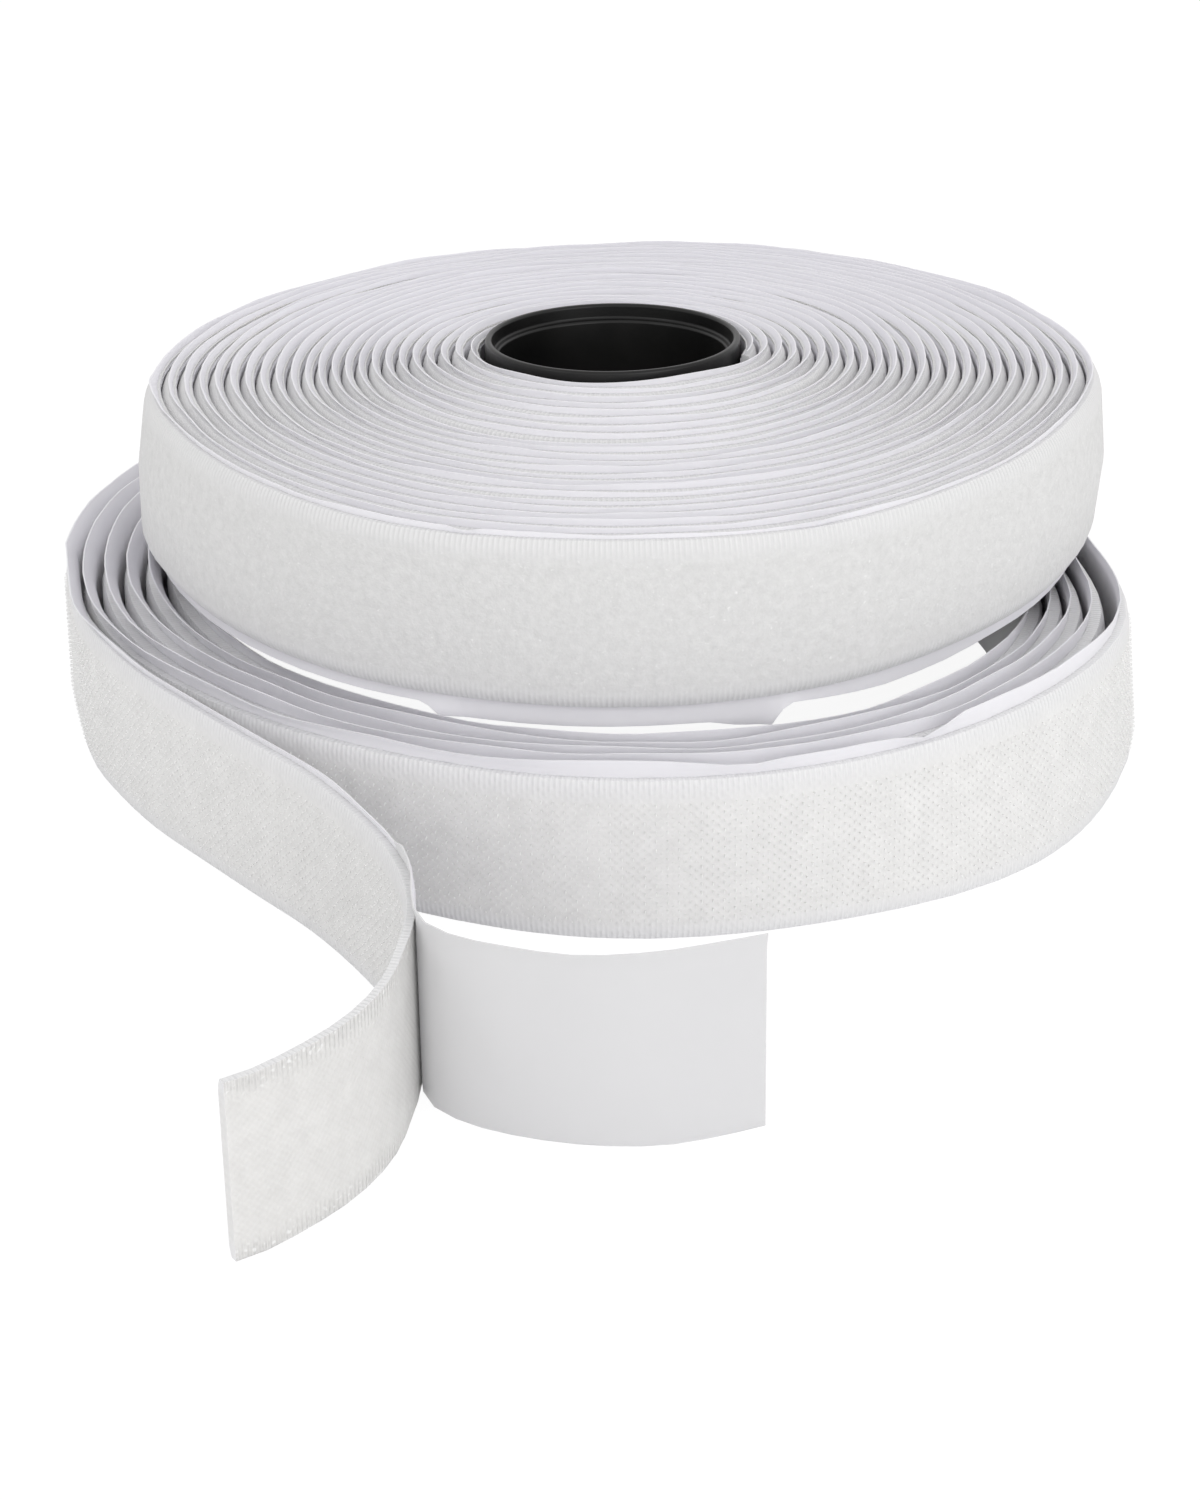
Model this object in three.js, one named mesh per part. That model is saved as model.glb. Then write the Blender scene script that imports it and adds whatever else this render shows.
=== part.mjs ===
// A matching pair of self-adhesive hook and loop tape rolls. The loop roll is wound tight on its
// plastic core and lies on the hook roll, whose turns have sprung loose around a wide hollow.
// The hook tape's free end stands beside them with its release liner peeled back.
import * as THREE from "three";

// Driving dimensions, in millimetres
const tapeWidth = 25;
const tapeThickness = 1.25;
const linerWidth = 28;
const linerThickness = 0.2;
const filmGap = 0.3;
const seatGap = 0.3;

// Moulded core, the same for both rolls
const coreRadius = 20.5;
const coreHeight = 26;
const boreRadius = 17.8;
const recessRadius = 18.9;
const recessDepth = 2.4;
const rimRound = 0.6;
const coreFacets = 48;

// Loop roll
const loopTurns = 23.33;
const loopPitch = 2.16;
const loopSteps = 18;
const loopStartBearing = -0.52;
const loopDish = 3.2;
const loopLinerBelow = 2.2;
const coreProud = 0.5;
const loopRollX = 2.7;
const loopRollY = -0.5;
// Towards the outside its turns have slipped this far off the core's centre
const loopSlipX = 1.8;
const loopSlipY = -0.8;

// Hook roll, round its own centre: its outer turn stands out past the loop roll, and its turns
// reach in under it
const hookOverhang = 13.7;
const hookUnderlap = 4.9;
const hookPitchFront = 2.1;
const hookPitchSide = 3.5;
const hookSteps = 20;
// Its outline is a rounded oblong: the radius at even bearings, anticlockwise from the right
const outlineShares = [
  0.978, 0.964, 0.959, 0.956, 0.96, 0.964, 0.969, 0.977,
  0.996, 0.968, 0.949, 0.957, 1.003, 1.03, 1.05, 1.029,
];
// Its core stands loose in the hollow, towards the right and the back
const coreReachShare = 0.43;
const coreBearing = 0.5;

// Free end of the hook tape: the route of its hook face, as shares of the hook roll's radius
const legRouteShares = [
  [-0.958, -0.161], [-0.92, -0.299], [-0.856, -0.431], [-0.776, -0.563], [-0.678, -0.69],
  [-0.569, -0.828], [-0.477, -0.943], [-0.391, -1.08], [-0.328, -1.207], [-0.293, -1.322],
  [-0.284, -1.437],
];
const legSteps = 12;
// Past the peel line the bare end of the tape bends on to the left
const bareRouteShares = [
  [-0.286, -1.517], [-0.3, -1.609], [-0.329, -1.69], [-0.372, -1.759], [-0.42, -1.816],
  [-0.464, -1.859], [-0.507, -1.892],
];
const bareSteps = 8;
// The peeled liner curls to the right, along the front of the roll
const peeledRouteShares = [
  [-0.257, -1.471], [-0.229, -1.512], [-0.178, -1.552], [-0.086, -1.59], [0.006, -1.609],
  [0.098, -1.609], [0.178, -1.586], [0.247, -1.557],
];
const peeledSteps = 11;

// Sizes that follow from those above
const halfShare = 0.5;
const turn = 2 * Math.PI;
const loopLinerBottom = linerWidth + seatGap;
const loopTapeBottom = loopLinerBottom + loopLinerBelow;
const loopSeat = (coreRadius + seatGap) / Math.cos(Math.PI / loopSteps);
const loopStart = loopSeat + linerThickness + filmGap + tapeThickness;
const loopRadius = loopStart + loopPitch * loopTurns;
const hookRadius = loopRadius + hookOverhang;
const hookTurns = (hookOverhang + hookUnderlap) / hookPitchSide;
const coreTop = loopLinerBottom + linerWidth + loopDish + coreProud;
const linerInset = tapeThickness + filmGap;

const material = (color, roughness) =>
  new THREE.MeshStandardMaterial({ color, roughness, metalness: 0 });
const corePlastic = material(0x232324, 0.38);
const loopPile = material(0xdcdcdd, 0.95);
const hookWeave = material(0xe4e3e2, 0.8);
const releaseFilm = material(0xdedee6, 0.45);

// A moulded ring with a rounded rim and a shallow recess round its bore at both ends
function core(name) {
  const half = coreHeight * halfShare;
  const profile = [
    [coreRadius - rimRound, -half], [coreRadius, rimRound - half],
    [coreRadius, half - rimRound], [coreRadius - rimRound, half],
    [recessRadius + rimRound, half], [recessRadius, half - rimRound],
    [recessRadius, half - recessDepth], [boreRadius, half - recessDepth],
    [boreRadius, recessDepth - half], [recessRadius, recessDepth - half],
    [recessRadius, rimRound - half], [recessRadius + rimRound, -half],
  ];
  const points = [...profile, profile[0]].map(([x, y]) => new THREE.Vector2(x, y));
  const geometry = new THREE.LatheGeometry(points, coreFacets);
  geometry.rotateX(turn / 4);
  const mesh = new THREE.Mesh(geometry, corePlastic.clone());
  mesh.name = name;
  return mesh;
}

// Points of a route with the direction square to it, to its left as it runs
function withNormals(points) {
  return points.map((point, i) => {
    const before = points[Math.max(i - 1, 0)];
    const after = points[Math.min(i + 1, points.length - 1)];
    const along = new THREE.Vector2(after.x - before.x, after.y - before.y).normalize();
    return { x: point.x, y: point.y, z: point.z ?? 0, nx: -along.y, ny: along.x };
  });
}

// The same route, moved sideways
function beside(route, distance) {
  return route.map((s) => ({ ...s, x: s.x + s.nx * distance, y: s.y + s.ny * distance }));
}

// One unbroken band that stands on edge: four corners at each station, closed at both ends
function band(name, route, bottom, width, thickness, skin) {
  const corners = [];
  const sides = [[-1, 0], [1, 0], [1, 1], [-1, 1]];
  for (const s of route) {
    for (const [side, up] of sides) {
      const out = side * thickness * halfShare;
      corners.push(s.x + s.nx * out, s.y + s.ny * out, bottom + s.z + up * width);
    }
  }
  const faces = [];
  const quad = (a, b, c, d) => faces.push(a, c, b, a, d, c);
  const count = sides.length;
  for (let i = 0; i + 1 < route.length; i += 1) {
    for (let j = 0; j < count; j += 1) {
      const k = (j + 1) % count;
      quad(i * count + j, (i + 1) * count + j, (i + 1) * count + k, i * count + k);
    }
  }
  const last = (route.length - 1) * count;
  quad(0, 1, 2, 3);
  quad(last + 3, last + 2, last + 1, last);
  const geometry = new THREE.BufferGeometry();
  geometry.setAttribute("position", new THREE.Float32BufferAttribute(corners, 3));
  geometry.setIndex(faces);
  geometry.computeVertexNormals();
  const mesh = new THREE.Mesh(geometry, skin.clone());
  mesh.name = name;
  return mesh;
}

// Least clear space between one turn of a wound band and the next, on its corners and mid-points
function leastGap(route, thickness, stepsPerTurn) {
  const spots = [];
  for (let i = 0; i + 1 < route.length; i += 1) {
    const a = route[i];
    const b = route[i + 1];
    spots.push([a.x, a.y, i], [(a.x + b.x) * halfShare, (a.y + b.y) * halfShare, i + halfShare]);
  }
  let least = Infinity;
  for (const [x, y, at] of spots) {
    for (let i = 0; i + 1 < route.length; i += 1) {
      if (Math.abs(i + halfShare - at) < stepsPerTurn * halfShare) continue;
      const a = route[i];
      const b = route[i + 1];
      const dx = b.x - a.x;
      const dy = b.y - a.y;
      const t = ((x - a.x) * dx + (y - a.y) * dy) / (dx * dx + dy * dy);
      const near = Math.min(Math.max(t, 0), 1);
      least = Math.min(least, Math.hypot(x - a.x - near * dx, y - a.y - near * dy));
    }
  }
  return least - thickness;
}

// Loop roll: the outer face of the tape runs out from the core in a steady spiral, and the turns
// rise towards the core, as a roll does that has been pushed up at its middle
function loopRoute() {
  const points = [];
  const count = Math.round(loopTurns * loopSteps);
  for (let i = 0; i <= count; i += 1) {
    const angle = loopStartBearing + (turn * i) / loopSteps;
    const radius = loopStart + (loopPitch * i) / loopSteps;
    const outerShare = i / count;
    points.push({
      x: radius * Math.cos(angle) + loopSlipX * outerShare,
      y: radius * Math.sin(angle) + loopSlipY * outerShare,
      z: loopDish * (1 - outerShare),
    });
  }
  return points;
}

// Every station of a spiral faces its centre
function facingCentre(points) {
  return points.map((p) => {
    const reach = Math.hypot(p.x, p.y);
    return { ...p, nx: -p.x / reach, ny: -p.y / reach };
  });
}

// Share of the hook roll's radius at a bearing, on a smooth curve through the outline's own
function outlineShare(angle) {
  const count = outlineShares.length;
  const at = ((angle / turn) % 1 + 1) * count;
  const first = Math.floor(at);
  const along = at - first;
  const near = [-1, 0, 1, 2].map((step) => outlineShares[(first + step + count) % count]);
  const slope = (near[2] - near[0]) * halfShare;
  const nextSlope = (near[3] - near[1]) * halfShare;
  const rise = near[2] - near[1];
  const bend = 3 * rise - 2 * slope - nextSlope;
  const twist = slope + nextSlope - 2 * rise;
  return near[1] + along * (slope + along * (bend + along * twist));
}

// Hook roll: a loose spiral from its inner end, hidden at the back, out to the left side
function hookFace(turns) {
  const angle = Math.PI - turn * turns;
  const side = Math.cos(angle) ** 2;
  const pitch = hookPitchFront + (hookPitchSide - hookPitchFront) * side;
  const radius = hookRadius * outlineShare(angle) - turns * pitch;
  return new THREE.Vector3(radius * Math.cos(angle), radius * Math.sin(angle), 0);
}

function hookCoil() {
  const points = [];
  const count = Math.round(hookTurns * hookSteps);
  for (let i = count; i >= 0; i -= 1) points.push(hookFace(i / hookSteps));
  return points;
}

// A smooth curve through hand-placed points, in even steps
function smooth(shares, lead, steps) {
  const placed = shares.map(([x, y]) => new THREE.Vector3(x * hookRadius, y * hookRadius, 0));
  const curve = new THREE.CatmullRomCurve3([...lead, ...placed], false, "centripetal");
  return curve.getSpacedPoints(steps);
}

const coil = hookCoil();
const leg = smooth(legRouteShares, [coil[coil.length - 1]], legSteps);
const hookRun = withNormals([...coil, ...leg.slice(1)]);
const tapeRun = beside(hookRun, tapeThickness * halfShare);
const linerRun = beside(hookRun, linerInset + linerThickness * halfShare);
const tapeEnd = tapeRun[tapeRun.length - 1];
const linerEnd = linerRun[linerRun.length - 1];

// A tail starts at the peel line, a seat gap past the band that it carries on from
function tail(shares, from, steps) {
  const start = new THREE.Vector3(from.x + from.ny * seatGap, from.y - from.nx * seatGap, 0);
  return withNormals(smooth(shares, [start], steps));
}
const bareRun = tail(bareRouteShares, tapeEnd, bareSteps);
const peeledRun = tail(peeledRouteShares, linerEnd, peeledSteps);

const loopFace = facingCentre(loopRoute());
const loopTapeRun = beside(loopFace, tapeThickness * halfShare);
const loopLinerRun = beside(loopFace, linerInset + linerThickness * halfShare);

const loopRoll = new THREE.Group();
loopRoll.position.set(loopRollX, loopRollY, 0);
const loopCore = core("loop_core");
loopCore.position.z = coreTop - coreHeight * halfShare;
loopRoll.add(
  loopCore,
  band("loop_tape", loopTapeRun, loopTapeBottom, tapeWidth, tapeThickness, loopPile),
  band("loop_liner", loopLinerRun, loopLinerBottom, linerWidth, linerThickness, releaseFilm),
);

const hookCore = core("hook_core");
const coreReach = coreReachShare * hookRadius;
hookCore.position.set(
  coreReach * Math.cos(coreBearing),
  coreReach * Math.sin(coreBearing),
  coreHeight * halfShare,
);
const hookRoll = new THREE.Group();
hookRoll.add(
  hookCore,
  band("hook_tape", tapeRun, 0, tapeWidth, tapeThickness, hookWeave),
  band("hook_liner", linerRun, 0, linerWidth, linerThickness, releaseFilm),
  band("hook_tape_end", bareRun, 0, tapeWidth, tapeThickness, hookWeave),
  band("hook_liner_end", peeledRun, 0, linerWidth, linerThickness, releaseFilm),
);

const windings = [
  ["loop_tape", loopTapeRun, tapeThickness, loopSteps],
  ["loop_liner", loopLinerRun, linerThickness, loopSteps],
  ["hook_tape", tapeRun, tapeThickness, hookSteps],
  ["hook_liner", linerRun, linerThickness, hookSteps],
];
for (const [name, route, thickness, steps] of windings) {
  console.log(`${name}: least gap to itself ${leastGap(route, thickness, steps).toFixed(2)} mm`);
}

// The origin is the middle of the whole, on the surface that it stands on
const rolls = new THREE.Group();
rolls.add(hookRoll, loopRoll);
rolls.updateMatrixWorld(true);
const middle = new THREE.Box3().setFromObject(rolls).getCenter(new THREE.Vector3());
rolls.position.set(-middle.x, -middle.y, 0);

export default rolls;
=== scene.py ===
# A matching pair of self-adhesive hook and loop tape rolls. The loop roll lies on the hook roll,
# whose loose coil lets its free end stand out in front with the liner peeled off it.
import math

import bpy
import numpy as np
from mathutils import Matrix, Vector


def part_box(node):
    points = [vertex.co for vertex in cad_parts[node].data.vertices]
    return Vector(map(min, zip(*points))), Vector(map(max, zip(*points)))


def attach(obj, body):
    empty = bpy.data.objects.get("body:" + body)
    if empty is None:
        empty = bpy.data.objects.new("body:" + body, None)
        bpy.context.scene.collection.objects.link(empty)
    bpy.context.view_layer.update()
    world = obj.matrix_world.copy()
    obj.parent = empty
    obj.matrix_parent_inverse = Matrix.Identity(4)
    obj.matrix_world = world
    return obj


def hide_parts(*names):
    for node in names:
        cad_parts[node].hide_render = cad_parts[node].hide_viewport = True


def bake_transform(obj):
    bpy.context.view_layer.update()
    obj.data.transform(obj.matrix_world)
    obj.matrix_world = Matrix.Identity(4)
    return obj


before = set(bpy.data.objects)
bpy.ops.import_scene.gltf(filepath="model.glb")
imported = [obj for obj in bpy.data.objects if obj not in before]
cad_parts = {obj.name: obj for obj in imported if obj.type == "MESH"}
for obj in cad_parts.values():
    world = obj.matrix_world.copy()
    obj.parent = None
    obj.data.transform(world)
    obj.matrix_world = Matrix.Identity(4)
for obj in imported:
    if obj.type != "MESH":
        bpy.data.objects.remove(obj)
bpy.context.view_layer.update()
bpy.ops.object.select_all(action="DESELECT")
scene = bpy.context.scene
scene.view_settings.view_transform = "Standard"

# Camera
# A short telephoto half a metre in front of the rolls, about twenty-five degrees above them,
# so that the loop roll's face and both walls show.
loop_core_low, loop_core_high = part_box("loop_core")
loop_centre = ((loop_core_low + loop_core_high) / 2).to_2d()
# The loop roll's outermost turn has slipped this far off the middle of its core
loop_slip = Vector((0.0018, -0.0008))
camera_distance = 0.5076
camera_height = 0.2309
camera_near = 0.01
camera_down = 0.4434
camera_turn = -0.0093
camera_roll = -0.0152
camera_lens = 81.6
camera_plan = loop_centre + loop_slip + Vector((0, -camera_distance))
camera_place = Vector((*camera_plan, camera_height))
camera_data = bpy.data.cameras.new("camera")
camera_data.lens = camera_lens
camera_data.clip_start = camera_near
camera = bpy.data.objects.new("camera", camera_data)
scene.collection.objects.link(camera)
ahead = Vector((
    math.sin(camera_turn) * math.cos(camera_down),
    math.cos(camera_turn) * math.cos(camera_down),
    -math.sin(camera_down),
))
level = Vector((math.cos(camera_turn), -math.sin(camera_turn), 0))
above = level.cross(ahead)
rightward = math.cos(camera_roll) * level + math.sin(camera_roll) * above
upward = -math.sin(camera_roll) * level + math.cos(camera_roll) * above
turned = Matrix((rightward, upward, -ahead)).transposed().to_4x4()
camera.matrix_world = Matrix.Translation(camera_place) @ turned
scene.camera = camera

# Studio
# A pale seamless table that reads as white to the camera and keeps a faint shadow, under three
# soft lamps and a plain white room.
floor_reach = 3.0
floor_colour = (0.86, 0.86, 0.87, 1)
floor_shadow_colour = (0.12, 0.12, 0.122, 1)
floor_glow = 0.93
bpy.ops.mesh.primitive_plane_add(size=floor_reach, location=(0, 0, 0))
floor = bpy.context.object
floor.name = "floor"
floor_material = bpy.data.materials.new("pale_table")
floor_material.use_nodes = True
nodes, links = floor_material.node_tree.nodes, floor_material.node_tree.links
nodes.clear()
floor_out = nodes.new("ShaderNodeOutputMaterial")
floor_light = nodes.new("ShaderNodeBsdfDiffuse")
floor_light.inputs["Color"].default_value = floor_colour
floor_seen = nodes.new("ShaderNodeAddShader")
floor_shadow = nodes.new("ShaderNodeBsdfDiffuse")
floor_shadow.inputs["Color"].default_value = floor_shadow_colour
floor_white = nodes.new("ShaderNodeEmission")
floor_white.inputs["Strength"].default_value = floor_glow
links.new(floor_shadow.outputs[0], floor_seen.inputs[0])
links.new(floor_white.outputs[0], floor_seen.inputs[1])
floor_mix = nodes.new("ShaderNodeMixShader")
floor_path = nodes.new("ShaderNodeLightPath")
floor_seen_by = nodes.new("ShaderNodeMath")
floor_seen_by.operation = "MAXIMUM"
links.new(floor_path.outputs["Is Camera Ray"], floor_seen_by.inputs[0])
links.new(floor_path.outputs["Is Glossy Ray"], floor_seen_by.inputs[1])
links.new(floor_seen_by.outputs[0], floor_mix.inputs["Fac"])
links.new(floor_light.outputs[0], floor_mix.inputs[1])
links.new(floor_seen.outputs[0], floor_mix.inputs[2])
links.new(floor_mix.outputs[0], floor_out.inputs["Surface"])
floor.data.materials.append(floor_material)

room_light = 0.87
room_colour = (0.995, 0.99, 0.99, 1)
world = bpy.data.worlds.new("white_room")
scene.world = world
world.use_nodes = True
nodes, links = world.node_tree.nodes, world.node_tree.links
nodes.clear()
world_out = nodes.new("ShaderNodeOutputWorld")
world_light = nodes.new("ShaderNodeBackground")
world_light.inputs["Color"].default_value = room_colour
world_light.inputs["Strength"].default_value = room_light
world_white = nodes.new("ShaderNodeBackground")
world_mix = nodes.new("ShaderNodeMixShader")
world_path = nodes.new("ShaderNodeLightPath")
links.new(world_path.outputs["Is Camera Ray"], world_mix.inputs["Fac"])
links.new(world_light.outputs[0], world_mix.inputs[1])
links.new(world_white.outputs[0], world_mix.inputs[2])
links.new(world_mix.outputs[0], world_out.inputs["Surface"])

# Each lamp's name, place, width and power
lamps = [
    ("key_lamp", Vector((0.75, -0.9, 0.42)), 0.9, 3.2),
    ("fill_lamp", Vector((-0.1, -1.1, 0.4)), 1.1, 1.2),
    ("side_lamp", Vector((-0.75, -0.5, 0.55)), 0.35, 0.5),
]
for name, place, size, power in lamps:
    bpy.ops.object.light_add(type="AREA", location=place)
    lamp = bpy.context.object
    lamp.name = name
    lamp.data.size = size
    lamp.data.energy = power
    lamp.rotation_euler = (-place).to_track_quat("-Z", "Y").to_euler()

# Loop roll's core
# A black moulded ring, a little taller than the tape is wide. Both ends have a rounded rim and
# a shallow recess round the bore, where the flange of a dispenser sits.
core_radius = 0.02
core_bore = 0.0178
core_recess = 0.0189
core_recess_depth = 0.0024
core_rim_round = 0.00045
core_facets = 144
core_tilt = math.radians(2.7)
core_lift = 0.0009
core_rim_segments = 4
core_smooth_angle = math.radians(30)
core_shade = (0.005, 0.005, 0.005)
core_light = (0.010, 0.0095, 0.009)
core_roughness = (0.26, 0.42)
core_mottle = 90
core_grain = 2200
core_grain_depth = 0.0001


def turn_core(name, low, high):
    """Draws the ring's section as a loop of edges drawn out, in and back round its axis."""
    axis = ((low + high) / 2).to_2d()
    bottom = low.z
    top = high.z
    section = [
        (core_radius, top),
        (core_recess, top),
        (core_recess, top - core_recess_depth),
        (core_bore, top - core_recess_depth),
        (core_bore, bottom + core_recess_depth),
        (core_recess, bottom + core_recess_depth),
        (core_recess, bottom),
        (core_radius, bottom),
    ]
    bpy.ops.mesh.primitive_circle_add(
        vertices=core_facets, radius=core_radius, location=(axis.x, axis.y, bottom)
    )
    ring = bpy.context.object
    ring.name = name
    bpy.ops.object.mode_set(mode="EDIT")
    bpy.ops.mesh.select_all(action="SELECT")
    radius, height = core_radius, bottom
    for next_radius, next_height in section:
        bpy.ops.mesh.extrude_region_move(
            TRANSFORM_OT_translate={"value": (0, 0, next_height - height)}
        )
        stretch = next_radius / radius
        bpy.ops.transform.resize(
            value=(stretch, stretch, 1), center_override=(axis.x, axis.y, next_height)
        )
        radius, height = next_radius, next_height
    bpy.ops.mesh.select_all(action="SELECT")
    bpy.ops.mesh.remove_doubles(threshold=core_rim_round / 10)
    bpy.ops.mesh.normals_make_consistent(inside=False)
    bpy.ops.object.mode_set(mode="OBJECT")
    rounding = ring.modifiers.new("rounded_rims", "BEVEL")
    rounding.width = core_rim_round
    rounding.segments = core_rim_segments
    rounding.limit_method = "ANGLE"
    bpy.ops.object.modifier_apply(modifier=rounding.name)
    bpy.ops.object.transform_apply(location=True, rotation=True, scale=True)
    bpy.ops.object.shade_smooth_by_angle(angle=core_smooth_angle)
    bpy.ops.object.select_all(action="DESELECT")
    return ring


def tip_up(ring, low, high):
    """Lifts the ring and tips its front up, as it sits in a roll pushed up at its middle."""
    bpy.context.view_layer.objects.active = ring
    bpy.ops.object.mode_set(mode="EDIT")
    bpy.ops.mesh.select_all(action="SELECT")
    bpy.ops.transform.rotate(
        value=core_tilt, orient_axis="X", center_override=(low + high) / 2
    )
    bpy.ops.transform.translate(value=(0, 0, core_lift))
    bpy.ops.object.mode_set(mode="OBJECT")


def shader(name):
    """A new material, with its tree and its main shader."""
    material = bpy.data.materials.new(name)
    material.use_nodes = True
    tree = material.node_tree
    return material, tree, tree.nodes["Principled BSDF"]


def node(tree, kind, *inputs, **settings):
    """Adds a node, sets its properties and fills its inputs in order with values or links."""
    made = tree.nodes.new("ShaderNode" + kind)
    for key, value in settings.items():
        setattr(made, key, value)
    for socket, value in zip(made.inputs, inputs):
        if value is None:
            continue
        if isinstance(value, bpy.types.NodeSocket):
            tree.links.new(value, socket)
        else:
            socket.default_value = value
    return made


def noise(tree, place, scale, detail, roughness=0.5):
    """Soft cloudy values over the surface."""
    return node(tree, "TexNoise", place, None, scale, detail, roughness).outputs["Fac"]


def mix(tree, share, colour, other):
    """One colour, giving way to the other by this share."""
    return node(tree, "MixRGB", share, colour, other).outputs[0]


def ramp(tree, factor, *stops):
    """Colours at these positions, for a factor."""
    made = node(tree, "ValToRGB", factor)
    band = made.color_ramp
    while len(band.elements) < len(stops):
        band.elements.new(0.5)
    for element, (position, colour) in zip(band.elements, stops):
        element.position = position
        element.color = (*colour, 1)
    return made.outputs["Color"]


def bump(tree, height, distance, strength=1.0, below=None):
    """Fine relief of this depth, over another where there is one."""
    made = node(tree, "Bump")
    made.inputs["Strength"].default_value = strength
    made.inputs["Distance"].default_value = distance
    tree.links.new(height, made.inputs["Height"])
    if below is not None:
        tree.links.new(below, made.inputs["Normal"])
    return made.outputs["Normal"]


def black_plastic():
    """Moulded black plastic: a faint mottle in its tone and gloss, over a fine grain."""
    material, tree, skin = shader("core_plastic")
    skin.inputs["Specular IOR Level"].default_value = 0.36
    place = node(tree, "TexCoord").outputs["Object"]
    clouds = noise(tree, place, scale=core_mottle, detail=4)
    tone = ramp(tree, clouds, (0.35, core_shade), (0.75, core_light))
    tree.links.new(tone, skin.inputs["Base Color"])
    gloss = node(tree, "MapRange", clouds, 0.0, 1.0, *core_roughness)
    tree.links.new(gloss.outputs[0], skin.inputs["Roughness"])
    grain = noise(tree, place, scale=core_grain, detail=2)
    relief = bump(tree, grain, distance=core_grain_depth, strength=0.12)
    tree.links.new(relief, skin.inputs["Normal"])
    return material


core_plastic = black_plastic()
loop_core = turn_core("loop_core_ring", loop_core_low, loop_core_high)
tip_up(loop_core, loop_core_low, loop_core_high)
loop_core.data.materials.append(core_plastic)
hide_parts("loop_core")
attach(loop_core, "loop_core")

# Hook roll's core
# The same moulded ring, on which the hook tape was first wound. The coil has come off it and
# sprung wide, so it stands loose in the hollow.
hook_core_low, hook_core_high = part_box("hook_core")
hook_core = turn_core("hook_core_ring", hook_core_low, hook_core_high)
hook_core.data.materials.append(core_plastic)
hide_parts("hook_core")
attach(hook_core, "hook_core")

# Loop tape
# Seven metres of white woven tape, wound with its napped loop face outwards. A bare woven
# selvedge runs along both edges, and the back has a coat of adhesive that holds the liner.
tape_width = 0.025
loop_thickness = 0.00185
selvedge = 0.0014
selvedge_fade = 0.0022
loop_shoulder = 0.0008
loop_turns = 23.3
loop_pitch = 0.00216
loop_start = 0.02278
loop_start_bearing = -0.3
loop_dish = 0.0032
loop_tape_bottom = 0.0305
turn_points = 72
station_spacing = 0.0042
# Near the core each turn keeps its radius until it climbs over the tape's start
climb_share = 0.13
climb_fade_turns = 2.5
loop_radius = loop_start + loop_pitch * loop_turns
# How far the outer turns stand out from an even spiral, by bearing: low, at mid height, on top
loop_out_low = [
    0.0016, 0.0010, 0.0004, -0.0004, -0.0010, -0.0004, 0.0010, 0.0040,
    0.0066, 0.0028, 0.0012, 0.0008, 0.0010, 0.0000, -0.0016, -0.0006,
]
loop_out_middle = [
    0.0031, 0.0018, 0.0006, -0.0006, -0.0013, -0.0006, 0.0012, 0.0042,
    0.0064, 0.0033, 0.0012, 0.0011, 0.0010, 0.0006, -0.0008, 0.0008,
]
loop_out_high = [
    0.0018, 0.0008, -0.0002, -0.0010, -0.0016, -0.0010, 0.0006, 0.0026,
    0.0040, 0.0012, 0.0004, 0.0014, 0.0006, 0.0010, -0.0010, -0.0004,
]
loop_back_sink = 0.0005
# The winding's last stretch slopes down to its end, so that its top edge hardly steps
loop_end_sink = 0.0011
loop_end_reach = 0.08
spread_turns = 11
# Heights, as shares of the tape's width, beyond which the liner's proud edges go along with it
bulge_floor = -0.1
bulge_ceiling = 1.05
sink_ceiling = 1.1
# Lengths and heights of the slow waves in the winding's edges
winding_waves = ((0.31, 0.00012), (0.083, 0.00008))
# Heights at which the tape is cut into rows, close together where its face rounds off
shoulder_rows = [0.0005, 0.0012, 0.0022]
tape_rows = [*shoulder_rows, tape_width / 2, *(tape_width - row for row in shoulder_rows[::-1])]
back_share = 0.99
strip_smooth_angle = math.radians(40)
pile_shade = (0.675, 0.675, 0.668)
pile_light = (0.765, 0.765, 0.758)
pile_fibre = (0.86, 0.86, 0.855, 1)
pile_rib_shade = (0.755, 0.755, 0.755)
pile_rib_light = (0.80, 0.80, 0.80)
back_shade = (0.72, 0.714, 0.70)
back_light = (0.785, 0.78, 0.765)
# Colour of the painted glints dotted along the back's bare edges
painted_glint_colour = (0.93, 0.93, 0.92, 1)
rib_pitch = 0.00078
thread_scatter = (0.35, 0.0009)


def around(values, bearing):
    """A smooth value for each bearing, from values given at even bearings."""
    count = len(values)
    table = np.array(values)
    at = np.mod(bearing / (2 * math.pi), 1) * count
    first = np.floor(at).astype(int)
    along = at - first
    before, here, there, after = (table[(first + k) % count] for k in (-1, 0, 1, 2))
    slope = (there - before) / 2
    next_slope = (after - here) / 2
    rise = there - here
    bend = 3 * rise - 2 * slope - next_slope
    twist = slope + next_slope - 2 * rise
    return here + along * (slope + along * (bend + along * twist))


def loop_route():
    """Points of the winding's outer face, from the core outwards."""
    turns = np.arange(round(loop_turns * turn_points) + 1) / turn_points
    climb = np.clip((np.mod(turns, 1) - 1 + climb_share) / climb_share, 0, 1)
    stepped = np.floor(turns) + climb ** 2 * (3 - 2 * climb)
    wound = turns + np.exp(-turns / climb_fade_turns) * (stepped - turns)
    angle = loop_start_bearing + 2 * math.pi * turns
    radius = loop_start + loop_pitch * wound
    outer = turns / loop_turns
    x = loop_centre.x + radius * np.cos(angle) + loop_slip.x * outer
    y = loop_centre.y + radius * np.sin(angle) + loop_slip.y * outer
    return np.column_stack([x, y, loop_dish * (1 - outer)])


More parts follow.
